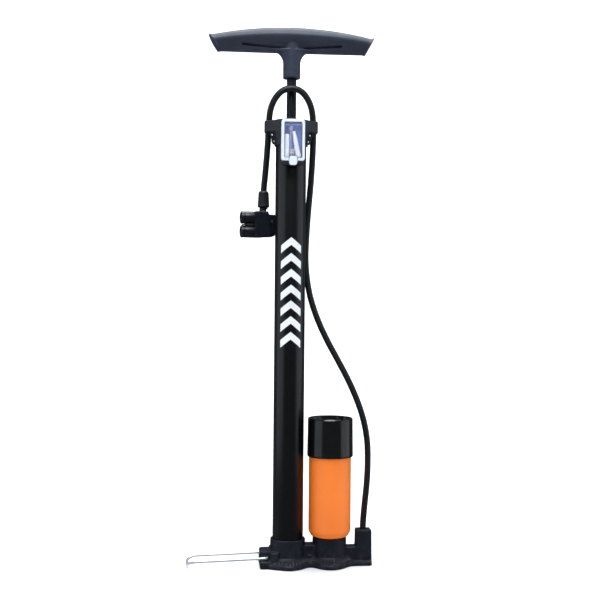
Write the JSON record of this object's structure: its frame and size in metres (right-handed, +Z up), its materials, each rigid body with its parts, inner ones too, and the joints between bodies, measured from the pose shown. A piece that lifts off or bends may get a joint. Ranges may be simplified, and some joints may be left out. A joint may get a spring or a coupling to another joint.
{
  "type": "floor pump",
  "caption": "Standing bicycle pump: tall barrel with T handle, side air tank, hose with two-port lever head, fold-up wire foot pedal and a clipped-on accessory case.",
  "frame": {"origin": "on the ground, on the barrel's axis", "axes": "+Z up along the barrel, +X from the barrel to the air tank, -Y towards the accessory case at the front"},
  "size_m": [0.2124, 0.0652, 0.6136],
  "materials": {
    "foot_plastic": "moulded, faintly satin",
    "cap_plastic": "moulded satin",
    "head_plastic": "moulded semi-gloss",
    "handle_plastic": "moulded satin, slate blue",
    "gloss_black": "moulded gloss",
    "clear_plastic": "clear, faintly blue",
    "white_plastic": "moulded satin",
    "white_nylon": "plain nylon",
    "black_paint": "gloss black coat on steel tube",
    "rod_paint": "black coat on steel tube",
    "orange_paint": "satin orange coat on aluminium",
    "seal_rubber": "plain",
    "hose_rubber": "smooth satin",
    "chrome_wire": "bright plated",
    "steel": "zinc plated",
    "brass": "turned"
  },
  "bodies": {
    "pump": {"base": "foot_plastic", "barrel_gasket": "seal_rubber", "channel_plug": "brass", "hose_fitting": "brass", "valve_seat": "brass", "valve_spring": "steel", "barrel": "black_paint", "barrel_cap": "cap_plastic", "rod_bush": "white_nylon", "rebound_bumper": "seal_rubber", "tank": "orange_paint", "tank_seal": "seal_rubber", "tank_cap": "gloss_black", "tank_cap_seal": "seal_rubber", "accessory_case": "cap_plastic", "straight_nozzle": "white_plastic", "cone_nozzle": "white_plastic", "valve_adapter": "brass", "ball_needle": "chrome_wire", "head_body": "head_plastic", "upper_collar": "head_plastic", "lower_collar": "head_plastic", "upper_grommet": "seal_rubber", "lower_grommet": "seal_rubber", "lever_pin": "steel", "hose_nut": "hose_rubber", "hose": "hose_rubber"},
    "rod_handle": {"rod": "rod_paint", "piston_stud": "steel", "piston": "white_nylon", "cup_washer": "steel", "piston_nut": "steel", "handle_stud": "steel", "handle_nut": "steel", "handle": "handle_plastic"},
    "cup": {"cup_seal": "seal_rubber"},
    "pedal": {"foot_pedal": "chrome_wire"},
    "lid": {"case_lid": "clear_plastic"},
    "lever": {"lever": "head_plastic"},
    "plunger": {"clamp_plunger": "white_nylon"},
    "check_disc": {"valve_disc": "seal_rubber"}
  },
  "joints": [
    {"name": "pump_stroke", "type": "slide", "parent": "pump", "child": "cup", "axis": [0, 0, 1], "range_m": [-0.008, 0.395]},
    {"name": "handle_turn", "type": "hinge", "parent": "cup", "child": "rod_handle", "pos_m": [0, 0, 0.07], "axis": [0, 0, 1], "continuous": true},
    {"name": "pedal_fold", "type": "hinge", "parent": "pump", "child": "pedal", "pos_m": [-0.024, 0, 0.011], "axis": [0, 1, 0], "range_deg": [0, 92]},
    {"name": "lid_open", "type": "hinge", "parent": "pump", "child": "lid", "pos_m": [0, -0.028, 0.501], "axis": [-1, 0, 0], "range_deg": [0, 100]},
    {"name": "lever_lock", "type": "hinge", "parent": "pump", "child": "lever", "pos_m": [-0.02193, 0.01942, 0.394], "axis": [0.1736, -0.9848, 0], "range_deg": [0, 75]},
    {"name": "clamp_slide", "type": "slide", "parent": "pump", "child": "plunger", "axis": [-0.9848, -0.1736, 0], "range_m": [0, 0.002]},
    {"name": "check_valve", "type": "slide", "parent": "pump", "child": "check_disc", "axis": [0, 0, -1], "range_m": [0, 0.0015], "stiffness_N_per_m": 100, "springref_m": -0.002, "deforming": ["valve_spring"]}
  ],
  "couplings": [
    {"joint": "clamp_slide", "follows": "lever_lock", "m_per_rad": 0.0015279}
  ]
}
